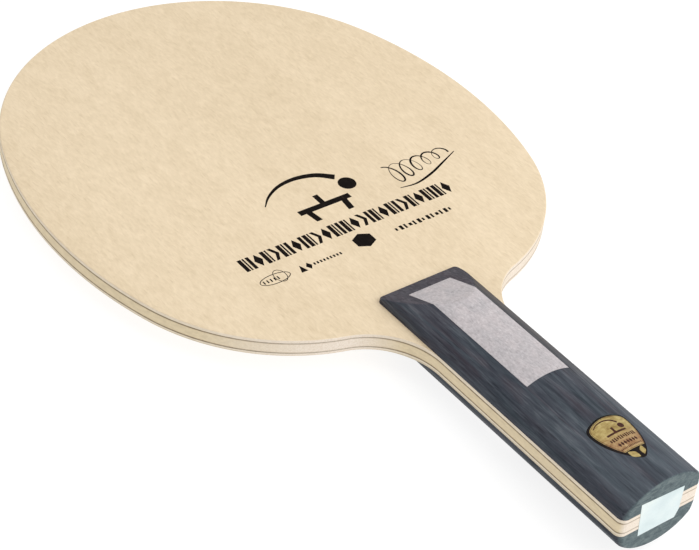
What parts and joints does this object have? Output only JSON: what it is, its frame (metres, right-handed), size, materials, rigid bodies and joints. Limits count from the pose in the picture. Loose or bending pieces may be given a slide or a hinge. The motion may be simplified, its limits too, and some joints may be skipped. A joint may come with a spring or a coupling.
{
  "type": "table tennis paddle",
  "caption": "Table tennis blade: oval laminated wood and fibre head with a straight dyed-wood handle, ready for rubber sheets on both faces.",
  "frame": {"origin": "middle of the whole object, on the middle plane of the laminate and on the handle's centre line", "axes": "+Y along the handle towards the tip of the head, +Z out of the front face, +X to the right when the front face is seen with the head up"},
  "size_m": [0.15, 0.2571, 0.023],
  "materials": {
    "core_wood": "bare sanded",
    "fibre_cloth": "resin-bonded",
    "inner_wood": "bare sanded",
    "face_wood": "fine sanded",
    "dyed_wood": "satin",
    "inlay_veneer": "satin",
    "badge_black": "gloss",
    "badge_gold": "satin",
    "label_paper": "smooth"
  },
  "bodies": {
    "root": {"core_ply": "core_wood", "front_fibre_ply": "fibre_cloth", "back_fibre_ply": "fibre_cloth", "front_inner_ply": "inner_wood", "back_inner_ply": "inner_wood", "front_face_ply": "face_wood", "back_face_ply": "face_wood", "front_handle_scale": "dyed_wood", "back_handle_scale": "dyed_wood", "front_handle_inlay": "inlay_veneer", "back_handle_inlay": "inlay_veneer", "badge_plate": "badge_black", "badge_foil": "badge_gold", "end_label": "label_paper"}
  },
  "joints": []
}
